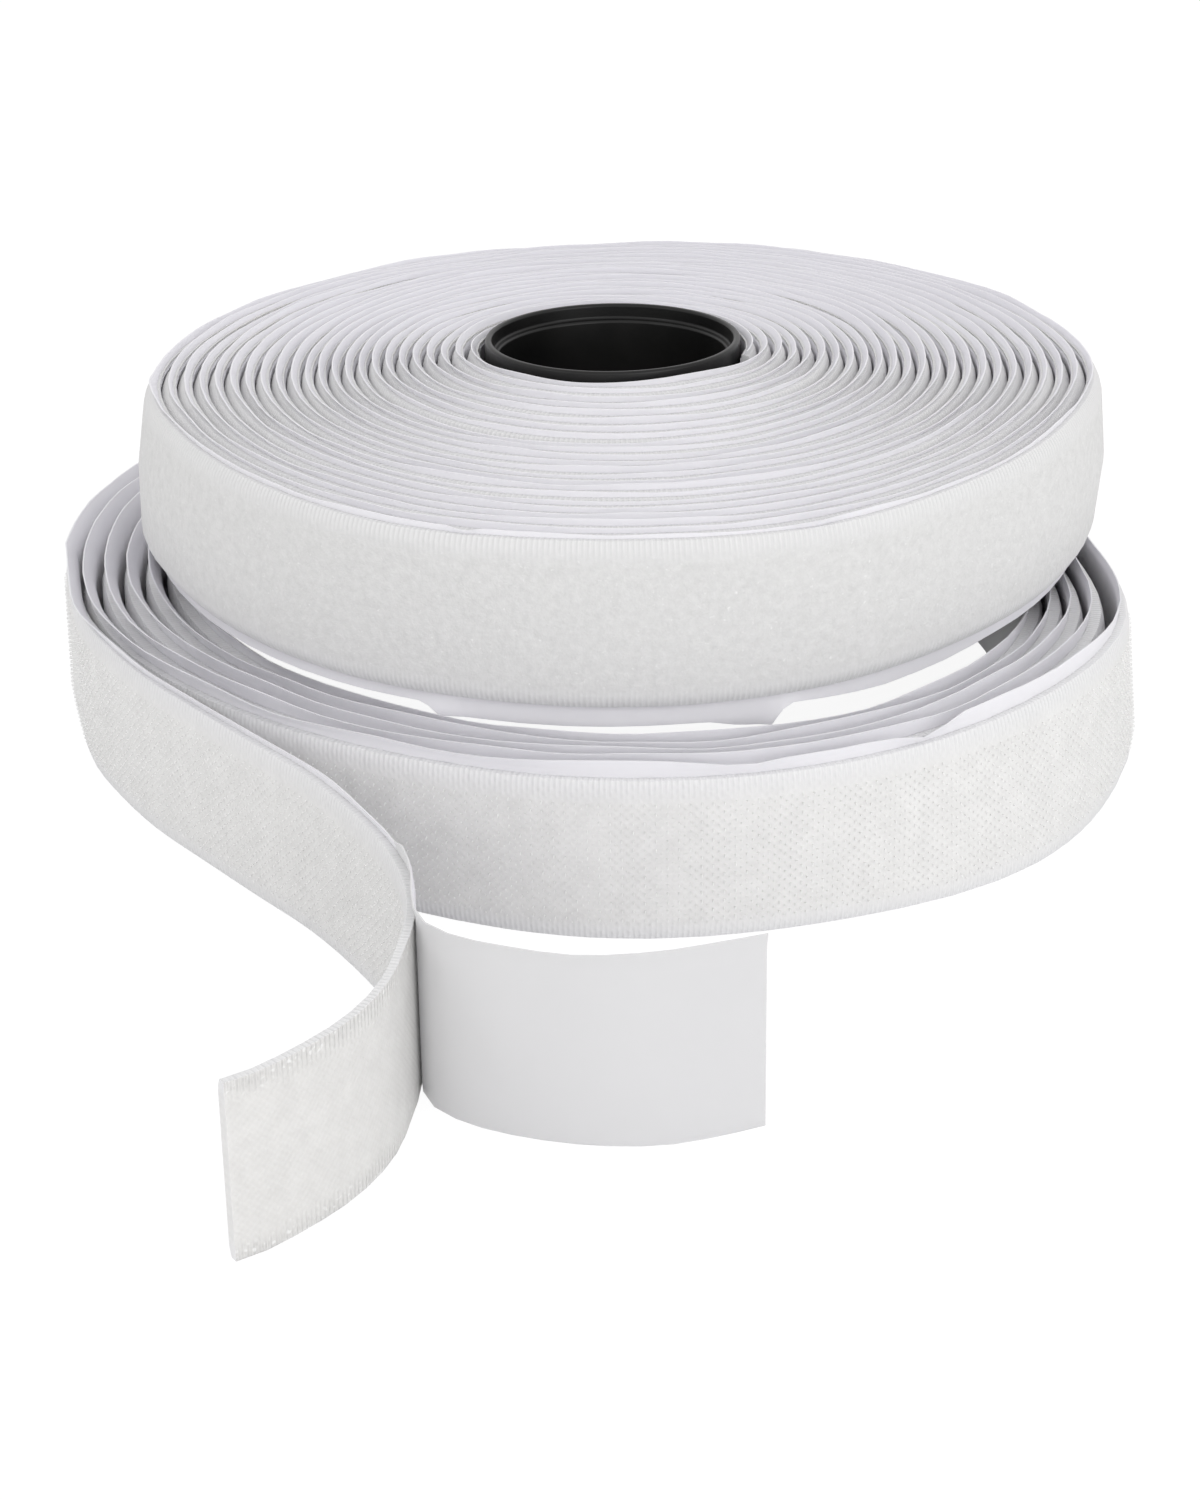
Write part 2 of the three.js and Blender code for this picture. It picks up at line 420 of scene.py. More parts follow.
def draw_route(name, points):
    """A curve through the points, for a strip to be wound along."""
    line = bpy.data.curves.new(name, "CURVE")
    line.dimensions = "3D"
    line.twist_mode = "Z_UP"
    spline = line.splines.new("POLY")
    spline.points.add(len(points) - 1)
    for point, place in zip(spline.points, points):
        point.co = (*place, 1)
    route = bpy.data.objects.new(name, line)
    scene.collection.objects.link(route)
    return route


def route_length(route):
    return route.data.splines[0].calc_length()


def lay_strip(name, start, length, bottom, width, rows, spacing=station_spacing):
    """A flat strip stood on edge along X, cut into stations and into rows at these heights."""
    middle = (start + length / 2, 0, bottom + width / 2)
    bpy.ops.mesh.primitive_grid_add(
        x_subdivisions=round(length / spacing), y_subdivisions=1, size=1, location=middle,
        rotation=(math.pi / 2, 0, 0),
    )
    strip = bpy.context.object
    strip.name = name
    strip.scale = (length, width, 1)
    bpy.ops.object.transform_apply(location=True, rotation=True, scale=True)
    bpy.ops.object.mode_set(mode="EDIT")
    for row in rows:
        bpy.ops.mesh.select_all(action="SELECT")
        bpy.ops.mesh.bisect(plane_co=(0, 0, bottom + row), plane_no=(0, 0, 1))
    bpy.ops.object.mode_set(mode="OBJECT")
    places = places_of(strip)
    corners = np.zeros(len(strip.data.loops), dtype=int)
    strip.data.loops.foreach_get("vertex_index", corners)
    flat = places[corners][:, [0, 2]] - (0, bottom)
    strip.data.uv_layers.active.data.foreach_set("uv", flat.ravel())
    return strip


def places_of(piece):
    """The places of all the piece's points."""
    places = np.zeros(len(piece.data.vertices) * 3)
    piece.data.vertices.foreach_get("co", places)
    return places.reshape(-1, 3)


def move_to(piece, places):
    """Moves all the piece's points to these places."""
    piece.data.vertices.foreach_set("co", places.ravel())
    piece.data.update()


def apply_to(piece, kind, **settings):
    """Adds a modifier with these settings and applies it."""
    bpy.context.view_layer.objects.active = piece
    change = piece.modifiers.new(kind.lower(), kind)
    for key, value in settings.items():
        setattr(change, key, value)
    bpy.ops.object.modifier_apply(modifier=change.name)


def thicken(strip, thickness, inwards=0):
    """Gives the strip its thickness towards the winding's middle, this far in from its face."""
    apply_to(strip, "SOLIDIFY", thickness=thickness, offset=1, use_even_offset=False)
    places = places_of(strip)
    places[:, 1] += inwards - places[:, 1].min()
    move_to(strip, places)


def wind(strip, route):
    """Wraps the strip along the route."""
    apply_to(strip, "CURVE", object=route, deform_axis="POS_X")


def finish_strip(strip):
    """Smooths the strip's faces and keeps its edges sharp."""
    bpy.context.view_layer.objects.active = strip
    strip.select_set(True)
    bpy.ops.object.shade_smooth_by_angle(angle=strip_smooth_angle)
    bpy.ops.object.select_all(action="DESELECT")


def wave(along, seed, *parts):
    """An uneven wave: sines of these lengths and heights, out of step with one another."""
    seed_step = 2.4
    part_step = 1.7
    drift = 3.1
    total = np.zeros_like(along)
    for k, (length, height) in enumerate(parts):
        phase = seed_step * seed + part_step * k
        wander = np.sin(along * drift / length)
        total += height * np.sin(2 * math.pi * along / length + phase + wander)
    return total


def sink_end(places, along):
    """Slopes the winding's top down towards its end."""
    near_end = np.clip(1 - (loop_length - along) / loop_end_reach, 0, 1)
    height = (places[:, 2] - loop_tape_bottom) / tape_width
    places[:, 2] -= loop_end_sink * near_end ** 2 * np.clip(height, 0, sink_ceiling)


def shape_loop_turns(places):
    """Lets the outer turns bulge, and tips the inner turns up with the core."""
    dx = places[:, 0] - loop_centre.x
    dy = places[:, 1] - loop_centre.y
    radius = np.hypot(dx, dy)
    bearing = np.arctan2(dy, dx)
    inner = np.clip(1 - (radius - core_radius) / core_radius, 0, 1)
    places[:, 2] += inner * (core_lift - math.tan(core_tilt) * dy)
    spread = spread_turns * loop_pitch
    outer = np.clip(1 + (radius - loop_radius) / spread, 0, 1)
    height = (places[:, 2] - loop_tape_bottom) / tape_width
    height = np.clip(height, bulge_floor, bulge_ceiling)
    out = around(loop_out_low, bearing) * (1 - height) * (1 - 2 * height)
    out += around(loop_out_middle, bearing) * 4 * height * (1 - height)
    out += around(loop_out_high, bearing) * height * (2 * height - 1)
    places[:, 0] += dx * outer * out / radius
    places[:, 1] += dy * outer * out / radius
    places[:, 2] -= loop_back_sink * outer * height * np.clip(np.sin(bearing), 0, 1)


loop_line = draw_route("loop_route", loop_route())
loop_length = route_length(loop_line)


def round_shoulders(strip, bottom, thickness, depth):
    """Rounds the tape's face down to both edges, where it has no loops or hooks."""
    places = places_of(strip)
    height = places[:, 2] - bottom
    edge = np.minimum(height, tape_width - height)
    bare = np.clip(1 - edge / selvedge_fade, 0, 1) ** 2
    places[:, 1] += depth * bare * (places[:, 1] < thickness / 2)
    move_to(strip, places)


def mark_back(strip, thickness):
    """Marks the back's faces for the adhesive's finish, all others for the face's."""
    marks = np.zeros(len(strip.data.polygons), dtype=int)
    middles = np.zeros(len(strip.data.polygons) * 3)
    strip.data.polygons.foreach_get("center", middles)
    across = middles.reshape(-1, 3)[:, 1]
    marks[across > thickness * back_share] = 1
    strip.data.polygons.foreach_set("material_index", marks)


loop_tape = lay_strip(
    "loop_tape_winding", 0, loop_length, loop_tape_bottom, tape_width, tape_rows
)
thicken(loop_tape, loop_thickness)
round_shoulders(loop_tape, loop_tape_bottom, loop_thickness, loop_shoulder)
mark_back(loop_tape, loop_thickness)
places = places_of(loop_tape)
places[:, 2] += wave(places[:, 0], 1, *winding_waves)
sink_end(places, places[:, 0])
move_to(loop_tape, places)
wind(loop_tape, loop_line)
places = places_of(loop_tape)
shape_loop_turns(places)
move_to(loop_tape, places)
finish_strip(loop_tape)


def math_node(tree, operation, a, b=None, c=None):
    return node(tree, "Math", a, b, c, operation=operation).outputs[0]


def group(name, inputs, outputs):
    """A shader node group with these named inputs and outputs."""
    tree = bpy.data.node_groups.new(name, "ShaderNodeTree")
    for label, kind in inputs:
        tree.interface.new_socket(label, in_out="INPUT", socket_type="NodeSocket" + kind)
    for label, kind in outputs:
        tree.interface.new_socket(label, in_out="OUTPUT", socket_type="NodeSocket" + kind)
    return tree, tree.nodes.new("NodeGroupInput"), tree.nodes.new("NodeGroupOutput")


# Ribs of the selvedges: a mask of both bare edges, and the height of their close cross ribs.
ribs, into, out = group(
    "selvedge_ribs", [("Flat", "Vector")], [("Mask", "Float"), ("Height", "Float")]
)
flat = node(ribs, "SeparateXYZ", into.outputs["Flat"])
from_middle = math_node(
    ribs, "ABSOLUTE", math_node(ribs, "SUBTRACT", flat.outputs["Y"], tape_width / 2)
)
edge_mask = node(
    ribs, "MapRange", from_middle, tape_width / 2 - selvedge - selvedge_fade,
    tape_width / 2 - selvedge / 2,
)
ribs.links.new(edge_mask.outputs[0], out.inputs["Mask"])
rib_wave = math_node(
    ribs, "SINE", math_node(ribs, "MULTIPLY", flat.outputs["X"], 2 * math.pi / rib_pitch)
)
rib_height = math_node(ribs, "MULTIPLY", rib_wave, edge_mask.outputs[0])
ribs.links.new(rib_height, out.inputs["Height"])

# Woven ground: the heights of its crossing threads, with some threads thicker than others.
weave, into, out = group(
    "woven_ground", [("Flat", "Vector"), ("Pitch", "Float")], [("Height", "Float")]
)
flat = node(weave, "SeparateXYZ", into.outputs["Flat"])
scaled = math_node(weave, "DIVIDE", 2 * math.pi, into.outputs["Pitch"])
threads = [
    math_node(weave, "SINE", math_node(weave, "MULTIPLY", flat.outputs[axis], scaled))
    for axis in ("X", "Y")
]
crossed = math_node(weave, "MULTIPLY", threads[0], threads[1])
uneven = noise(weave, into.outputs["Flat"], scale=900.0, detail=3.0)
mixed = math_node(weave, "MULTIPLY_ADD", uneven, 1.2, crossed)
weave.links.new(mixed, out.inputs["Height"])


def use_group(tree, effect, **inputs):
    """Places a node group in a material, with these values or links."""
    made = tree.nodes.new("ShaderNodeGroup")
    made.node_tree = effect
    for label, value in inputs.items():
        if isinstance(value, bpy.types.NodeSocket):
            tree.links.new(value, made.inputs[label])
        else:
            made.inputs[label].default_value = value
    return made


def scatter(skin, weight, reach):
    """Lets light into the white thread or film, and out of it this far away."""
    skin.inputs["Subsurface Weight"].default_value = weight
    skin.inputs["Subsurface Radius"].default_value = (1, 1, 1)
    skin.inputs["Subsurface Scale"].default_value = reach


def pile_material():
    """Napped loops: a soft mottle a millimetre or three across, with stray bright fibres."""
    material, tree, skin = shader("loop_pile")
    uv = node(tree, "UVMap").outputs["UV"]
    place = node(tree, "TexCoord").outputs["Object"]
    edge = use_group(tree, ribs, Flat=uv)
    mottle = noise(tree, place, scale=760.0, detail=4.0, roughness=0.62)
    fine = noise(tree, place, scale=2200.0, detail=2.0, roughness=0.6)
    tuft = math_node(tree, "MULTIPLY_ADD", fine, 0.45, mottle)
    tone = ramp(tree, tuft, (0.45, pile_shade), (0.95, pile_light))
    fibre_and_glint_noise = noise(tree, place, scale=1500.0, detail=1.0)
    bright = node(tree, "MapRange", fibre_and_glint_noise, 0.69, 0.85).outputs[0]
    lit = mix(tree, bright, tone, pile_fibre)
    rib_tone = ramp(tree, edge.outputs["Height"], (0.0, pile_rib_shade), (0.8, pile_rib_light))
    colour = mix(tree, edge.outputs["Mask"], lit, rib_tone)
    tree.links.new(colour, skin.inputs["Base Color"])
    skin.inputs["Roughness"].default_value = 0.92
    skin.inputs["Specular IOR Level"].default_value = 0.2
    scatter(skin, *thread_scatter)
    nap = math_node(
        tree, "MULTIPLY", tuft, math_node(tree, "SUBTRACT", 1.0, edge.outputs["Mask"])
    )
    napped = bump(tree, nap, distance=0.0004, strength=0.45)
    ribbed = bump(tree, edge.outputs["Height"], distance=0.00008, strength=0.7, below=napped)
    tree.links.new(ribbed, skin.inputs["Normal"])
    return material


def back_material():
    """The tape's back: a warm white weave seen through its glossy coat of adhesive, with painted
    glints at its edges.
    """
    material, tree, skin = shader("adhesive_back")
    uv = node(tree, "UVMap").outputs["UV"]
    place = node(tree, "TexCoord").outputs["Object"]
    edge = use_group(tree, ribs, Flat=uv)
    ground = use_group(tree, weave, Flat=uv, Pitch=0.0011)
    mottle = noise(tree, place, scale=330.0, detail=5.0, roughness=0.65)
    mixed = math_node(tree, "MULTIPLY_ADD", ground.outputs["Height"], 0.09, mottle)
    tone = ramp(tree, mixed, (0.35, back_shade), (0.75, back_light))
    # Painted glints: bright specks along the bare edges, standing in for light caught by the shiny
    # adhesive.
    fibre_and_glint_noise = noise(tree, place, scale=1500.0, detail=0.0)
    bright = node(tree, "MapRange", fibre_and_glint_noise, 0.66, 0.80).outputs[0]
    bright = math_node(tree, "MULTIPLY", bright, edge.outputs["Mask"])
    lit = mix(tree, bright, tone, painted_glint_colour)
    tree.links.new(lit, skin.inputs["Base Color"])
    skin.inputs["Roughness"].default_value = 0.5
    scatter(skin, *thread_scatter)
    relief = bump(tree, mixed, distance=0.0004, strength=0.6)
    ribbed = bump(tree, edge.outputs["Height"], distance=0.00012, strength=0.8, below=relief)
    tree.links.new(ribbed, skin.inputs["Normal"])
    return material


loop_pile = pile_material()
adhesive_back = back_material()
loop_tape.data.materials.append(loop_pile)
loop_tape.data.materials.append(adhesive_back)
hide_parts("loop_tape")
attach(loop_tape, "loop_roll")

# Loop tape's liner
# A thin white film, wider than the tape, wound with it against the adhesive. Its edges stand
# proud of the tape above and below, and wave a little.
liner_width = 0.028
liner_thickness = 0.0002
liner_rows = [0.0020, 0.014, 0.0252, 0.0266]
liner_spacing = 0.0018
liner_edge = 0.001
loop_liner_bottom = 0.0283
# Its proud top edge curls outwards, most at the roll's sides
loop_front_curl = 0.0001
loop_side_curl = 0.0010
# Lengths and heights of the waves in its upper and lower edge
loop_top_waves = ((0.057, 0.00016), (0.0237, 0.0001), (0.21, 0.00014))
loop_low_waves = ((0.061, 0.00012), (0.19, 0.0001))
# On the front of the outermost turn its lower edge has torn and hangs down in steps
front_turns = 23
loop_edge_bearings = [-200, -150, -114, -112.4, -81, -77, -72.7, -71.8, -66, -58, -48, -38]
loop_edge_heights = [
    0, 0, 0.0005, -0.0010, -0.0012, -0.0022, -0.0024, 0.0004, 0, -0.0006, -0.0006, 0,
]
# There its lower edge also splays outwards
loop_splay = 0.0004
splay_from = -200
splay_fade = 40
# The creases of its upper and lower edge: bearing, reach, how far out and how far up
loop_top_creases = [
    (-68.5, 0.0028, 0.0012, 0.0005), (-108.4, 0.0014, 0.0008, -0.0003),
    (-96.0, 0.0160, 0.0002, -0.0003), (-176.0, 0.0050, 0.0006, 0.0003),
]
loop_low_creases = [(-72.7, 0.0022, 0.0010, 0), (-112.0, 0.0025, 0.0008, 0)]
# How far from the film's middle its edge colour begins, and where it is full: a blue tint, and on
# the coated side painted light
liner_edge_colour_start = 0.0095
liner_edge_colour_full = 0.0138
coated_shade = (0.80, 0.795, 0.82)
coated_light = (0.83, 0.825, 0.85)
# The coated side's edge colour is brighter than its film: the film's blue tint, and painted light
# that lifts its proud bands out of shade
coated_edge_tint_and_painted_light = (0.875, 0.867, 0.905)
plain_shade = (0.87, 0.863, 0.90)
plain_light = (0.90, 0.893, 0.93)
plain_edge = (0.835, 0.825, 0.88)
wound_scatter = (0.25, 0.0008)


def bearing_along(line, bearings, along):
    """The bearing on the winding at these lengths along it."""
    run = np.linalg.norm(np.diff(np.array(line), axis=0), axis=1)
    return np.interp(along, np.concatenate([[0], np.cumsum(run)]), bearings)


def length_at(line, bearings, bearing):
    """How far along the winding it passes this bearing."""
    run = np.linalg.norm(np.diff(np.array(line), axis=0), axis=1)
    return np.interp(bearing, bearings, np.concatenate([[0], np.cumsum(run)]))


def crease(places, edge, at, reach, out, rise):
    """Bends a short stretch of one of the strip's edges outwards and up."""
    share = edge * np.exp(-((places[:, 0] - at) / reach) ** 2)
    places[:, 1] -= out * share
    places[:, 2] += rise * share


def liner_material(name, dark, light, edge_colour, weight, reach):
    """Smooth white film, a little blue at its thin edges, with this much light passing through."""
    material, tree, skin = shader(name)
    uv = node(tree, "UVMap").outputs["UV"]
    place = node(tree, "TexCoord").outputs["Object"]
    across = node(tree, "SeparateXYZ", uv).outputs["Y"]
    from_middle = math_node(
        tree, "ABSOLUTE", math_node(tree, "SUBTRACT", across, liner_width / 2)
    )
    edge = node(tree, "MapRange", from_middle, liner_edge_colour_start, liner_edge_colour_full).outputs[0]
    clouds = noise(tree, place, scale=45.0, detail=3.0)
    tone = ramp(tree, clouds, (0.3, dark), (0.7, light))
    # The edge colour is the film's blue tint. On the coated side, where it is brighter than the
    # film, it is also painted light.
    edge_toned = mix(tree, edge, tone, (*edge_colour, 1))
    tree.links.new(edge_toned, skin.inputs["Base Color"])
    skin.inputs["Roughness"].default_value = 0.42
    skin.inputs["Specular IOR Level"].default_value = 0.4
    scatter(skin, weight, reach)
    dents = noise(tree, place, scale=120.0, detail=2.0)
    relief = bump(tree, dents, distance=0.0006, strength=0.25)
    tree.links.new(relief, skin.inputs["Normal"])
    return material


loop_liner = lay_strip(
    "loop_liner_winding", 0, loop_length, loop_liner_bottom, liner_width, liner_rows,
    liner_spacing,
)
thicken(loop_liner, liner_thickness, loop_thickness)
mark_back(loop_liner, loop_thickness + liner_thickness)
places = places_of(loop_liner)
top = places[:, 2] > loop_liner_bottom + liner_width - liner_edge
low = places[:, 2] < loop_liner_bottom + liner_edge
places[:, 2] += wave(places[:, 0], 1, *winding_waves)
places[top, 2] += wave(places[top, 0], 2, *loop_top_waves)
places[low, 2] += wave(places[low, 0], 3, *loop_low_waves)
loop_points = loop_route()
loop_bearings = loop_start_bearing + 2 * math.pi * np.arange(len(loop_points)) / turn_points
last_front = 2 * math.pi * front_turns
bearing = np.degrees(bearing_along(loop_points, loop_bearings, places[:, 0]) - last_front)
side = np.cos(np.radians(bearing)) ** 2
places[:, 1] -= top * (loop_front_curl + loop_side_curl * side)
places[:, 1] -= low * loop_splay * np.clip((bearing - splay_from) / splay_fade, 0, 1)
places[:, 2] += low * np.interp(bearing, loop_edge_bearings, loop_edge_heights)
for edge, creases in ((top, loop_top_creases), (low, loop_low_creases)):
    for bearing, reach, out, rise in creases:
        spot = length_at(loop_points, loop_bearings, last_front + math.radians(bearing))
        crease(places, edge, spot, reach, out, rise)
sink_end(places, places[:, 0])
move_to(loop_liner, places)
wind(loop_liner, loop_line)
places = places_of(loop_liner)
shape_loop_turns(places)
move_to(loop_liner, places)
finish_strip(loop_liner)
coated_film = liner_material(
    "coated_film", coated_shade, coated_light, coated_edge_tint_and_painted_light, *wound_scatter
)
plain_film = liner_material(
    "plain_film", plain_shade, plain_light, plain_edge, *wound_scatter
)
loop_liner.data.materials.append(coated_film)
loop_liner.data.materials.append(plain_film)
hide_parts("loop_liner")
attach(loop_liner, "loop_roll")
bpy.data.objects.remove(loop_line)

# Hook tape
# The same woven tape with rows of stiff hooks on its outer face. It has sprung into a loose
# oblong coil. Its free end runs off to the front, and its last stretch is bare of liner.
hook_thickness = 0.0016
hook_shoulder = 0.0005
hook_radius = 0.087011
hook_turns = 5.3
hook_pitch_front = 0.0021
hook_pitch_side = 0.0035
# The coil's middle lies this far off the loop roll's
hook_offset = Vector((-0.0027, 0.0005))
hook_centre = loop_centre + hook_offset
hook_outline = [
    0.973, 0.947, 0.945, 0.954, 0.96, 0.964, 0.972, 0.990,
    0.993, 0.968, 0.949, 0.957, 1.003, 1.03, 1.05, 1.029,
]
# How much further out the coil's lower edge stands than its upper edge, by bearing
hook_lean = [
    0.0055, 0.0065, 0.0050, 0.0020, 0.0, 0.0, 0.0, 0.0005,
    0.0010, -0.0015, -0.0015, -0.0015, -0.0005, -0.0005, 0.0025, 0.0010,
]
# Its innermost turns stand more upright, with room for the loose core
upright_share = 0.15
upright_reach = 1.3
# The lean ends this far to either side of where the free end leaves the coil
lean_fade = 0.03
lean_ceiling = 1.12
# On the right its inner turns have fallen in and run straighter than the outermost
fall_bearing = math.radians(-4)
fall_reach = math.radians(26)
fall_depth = 0.0016
# At the sides, where no turn presses on the next, the tape's face stands up looser
loose_height = 0.0007
# The free end's line, first covered and then bare, as shares of the coil's radius
leg_route_shares = [
    (-0.958, -0.161), (-0.92, -0.299), (-0.856, -0.431), (-0.776, -0.563), (-0.678, -0.69),
    (-0.569, -0.828), (-0.477, -0.943), (-0.391, -1.08), (-0.328, -1.207), (-0.293, -1.322),
    (-0.284, -1.437),
]
bare_route_shares = [
    (-0.293, -1.517), (-0.307, -1.607), (-0.336, -1.687), (-0.376, -1.754), (-0.422, -1.809),
    (-0.464, -1.853), (-0.510, -1.885),
]
leg_steps = 60
bare_steps = 30
span_points = 12
weave_shade = (0.772, 0.769, 0.759)
weave_light = (0.84, 0.837, 0.827)
weave_rib_shade = (0.79, 0.79, 0.795)
weave_rib_light = (0.83, 0.83, 0.835)


def hook_face(turns):
    """Places on the outer face of the coil's tape, in from its left side by these turns."""
    angle = math.pi - 2 * math.pi * turns
    pitch = hook_pitch_front + (hook_pitch_side - hook_pitch_front) * np.cos(angle) ** 2
    radius = hook_radius * around(hook_outline, angle) - turns * pitch
    off = np.mod(angle - fall_bearing + math.pi, 2 * math.pi) - math.pi
    radius -= fall_depth * (turns > 1) * np.exp(-(off / fall_reach) ** 2)
    return np.column_stack([radius * np.cos(angle), radius * np.sin(angle)])


def smooth_line(points, steps):
    """A smooth line through given points, in even steps, with no overshoot between them."""
    places = np.array(points)
    gaps = np.linalg.norm(np.diff(places, axis=0), axis=1) ** 0.5
    knots = np.concatenate([[-gaps[0]], [0], np.cumsum(gaps), [gaps.sum() + gaps[-1]]])
    full = np.vstack([2 * places[0] - places[1], places, 2 * places[-1] - places[-2]])
    fine = []
    for i in range(len(places) - 1):
        a, b, c, d = full[i:i + 4]
        t0, t1, t2, t3 = knots[i:i + 4]
        t = np.linspace(t1, t2, span_points, endpoint=False)[:, None]
        u = (t1 - t) / (t1 - t0) * a + (t - t0) / (t1 - t0) * b
        v = (t2 - t) / (t2 - t1) * b + (t - t1) / (t2 - t1) * c
        w = (t3 - t) / (t3 - t2) * c + (t - t2) / (t3 - t2) * d
        e = (t2 - t) / (t2 - t0) * u + (t - t0) / (t2 - t0) * v
        f = (t3 - t) / (t3 - t1) * v + (t - t1) / (t3 - t1) * w
        fine.append((t2 - t) / (t2 - t1) * e + (t - t1) / (t2 - t1) * f)
    line = np.vstack([*fine, places[-1:]])
    run = np.concatenate([[0], np.cumsum(np.linalg.norm(np.diff(line, axis=0), axis=1))])
    even = np.linspace(0, run[-1], steps + 1)
    return np.column_stack([np.interp(even, run, line[:, k]) for k in (0, 1)])


def beside(line, distance):
    """The same line, moved to its left."""
    along = np.gradient(line, axis=0)
    along /= np.linalg.norm(along, axis=1)[:, None]
    return line + distance * np.column_stack([-along[:, 1], along[:, 0]])


def in_frame(line):
    """The coil's plan line, moved to where the coil stands."""
    return [(x + hook_centre.x, y + hook_centre.y, 0) for x, y in line]


def line_length(line):
    return np.linalg.norm(np.diff(line, axis=0), axis=1).sum()


def lean_hook_turns(places, along, coil_length):
    """Leans the coil's wall in or out, fading where the free end has left it."""
    dx = places[:, 0] - hook_centre.x
    dy = places[:, 1] - hook_centre.y
    radius = np.hypot(dx, dy)
    height = np.clip(places[:, 2] / tape_width, 0, lean_ceiling)
    on_coil = np.clip((coil_length + lean_fade - along) / (2 * lean_fade), 0, 1)
    leaning = upright_share + (1 - upright_share) * np.clip(along / upright_reach, 0, 1)
    lean = on_coil * leaning * around(hook_lean, np.arctan2(dy, dx))
    move = lean * (0.5 - height) / radius
    places[:, 0] += dx * move
    places[:, 1] += dy * move


coil_count = round(hook_turns * turn_points)
coil = hook_face(np.arange(coil_count, -1, -1) / turn_points)
coil_length = line_length(coil)
leg_points = np.array(leg_route_shares) * hook_radius
bare_points = np.array(bare_route_shares) * hook_radius
leg = smooth_line([coil[-1], *leg_points], leg_steps)
free_end = smooth_line([coil[-1], *leg_points, *bare_points], leg_steps + bare_steps)
tape_route = np.vstack([coil, free_end[1:]])
tape_line = draw_route("hook_tape_route", in_frame(tape_route))
tape_length = route_length(tape_line)
hook_tape = lay_strip("hook_tape_coil", 0, tape_length, 0, tape_width, tape_rows)
thicken(hook_tape, hook_thickness)
round_shoulders(hook_tape, 0, hook_thickness, hook_shoulder)
mark_back(hook_tape, hook_thickness)
places = places_of(hook_tape)
along = places[:, 0].copy()
coil_bearings = math.pi - 2 * math.pi * np.arange(coil_count, -1, -1) / turn_points
side = np.cos(bearing_along(coil, coil_bearings, along)) ** 2
inner_turn = bearing_along(coil, coil_bearings, along) < -math.pi
face = places[:, 1] < hook_thickness / 2
places[:, 1] -= loose_height * side * inner_turn * face
move_to(hook_tape, places)
wind(hook_tape, tape_line)
places = places_of(hook_tape)
lean_hook_turns(places, along, coil_length)
move_to(hook_tape, places)
finish_strip(hook_tape)


def hook_material():
    """The ground between the hooks: crisp woven ribs, with the hooks' roots in neat rows."""
    material, tree, skin = shader("hook_weave")
    uv = node(tree, "UVMap").outputs["UV"]
    place = node(tree, "TexCoord").outputs["Object"]
    edge = use_group(tree, ribs, Flat=uv)
    ground = use_group(tree, weave, Flat=uv, Pitch=0.0014)
    mottle = noise(tree, place, scale=260.0, detail=4.0, roughness=0.6)
    mixed = math_node(tree, "MULTIPLY_ADD", ground.outputs["Height"], 0.1, mottle)
    tone = ramp(tree, mixed, (0.35, weave_shade), (0.8, weave_light))
    rib_tone = ramp(tree, edge.outputs["Height"], (0.0, weave_rib_shade), (0.8, weave_rib_light))
    colour = mix(tree, edge.outputs["Mask"], tone, rib_tone)
    tree.links.new(colour, skin.inputs["Base Color"])
    skin.inputs["Roughness"].default_value = 0.6
    scatter(skin, *thread_scatter)
    relief = bump(tree, mixed, distance=0.0004, strength=0.5)
    ribbed = bump(tree, edge.outputs["Height"], distance=0.0001, strength=0.55, below=relief)
    tree.links.new(ribbed, skin.inputs["Normal"])
    return material


hook_weave = hook_material()
hook_tape.data.materials.append(hook_weave)
hook_tape.data.materials.append(adhesive_back)
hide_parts("hook_tape", "hook_tape_end")
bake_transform(hook_tape)

# Hook tape's hooks
# Rows of clipped plastic loops stand up out of the weave, each a stiff bent thread. They show
# as fine upright dashes, and catch the light.
hook_thread = 0.0001
hook_reach = 0.0005
hooked_length = 0.78
hook_pitch = Vector((0.0016, 0.0014))
hook_rows = 14
lowest_hook = 0.00265
hook_end_margin = 0.0015
# A hook's stem as a share of its reach, and its bent tip's rise, lean aside and width
hook_stem = 0.72
hook_tip_rise = 0.35
hook_tip_aside = 0.6
hook_tip_width = 0.7
thread_shade = (0.80, 0.80, 0.79)
thread_light = (0.93, 0.93, 0.92)


def model_hook(name, x, z, turned):
    """One hook, drawn out of the tape's face and bent over sideways."""
    bpy.ops.mesh.primitive_circle_add(
        vertices=3, radius=hook_thread, fill_type="NGON", location=(x, hook_thread, z),
        rotation=(math.pi / 2, 0, 0),
    )
    hook = bpy.context.object
    hook.name = name
    bpy.ops.object.transform_apply(location=True, rotation=True, scale=True)
    bpy.ops.object.mode_set(mode="EDIT")
    bpy.ops.mesh.select_all(action="SELECT")
    stem = -hook_reach * hook_stem
    aside = turned * hook_reach * hook_tip_aside
    bpy.ops.mesh.extrude_region_move(TRANSFORM_OT_translate={"value": (0, stem, 0)})
    bpy.ops.mesh.extrude_region_move(
        TRANSFORM_OT_translate={"value": (0, stem * hook_tip_rise, aside)}
    )
    bpy.ops.transform.resize(value=(hook_tip_width, hook_tip_width, hook_tip_width))
    bpy.ops.mesh.select_all(action="SELECT")
    bpy.ops.mesh.normals_make_consistent(inside=False)
    bpy.ops.object.mode_set(mode="OBJECT")
    return hook


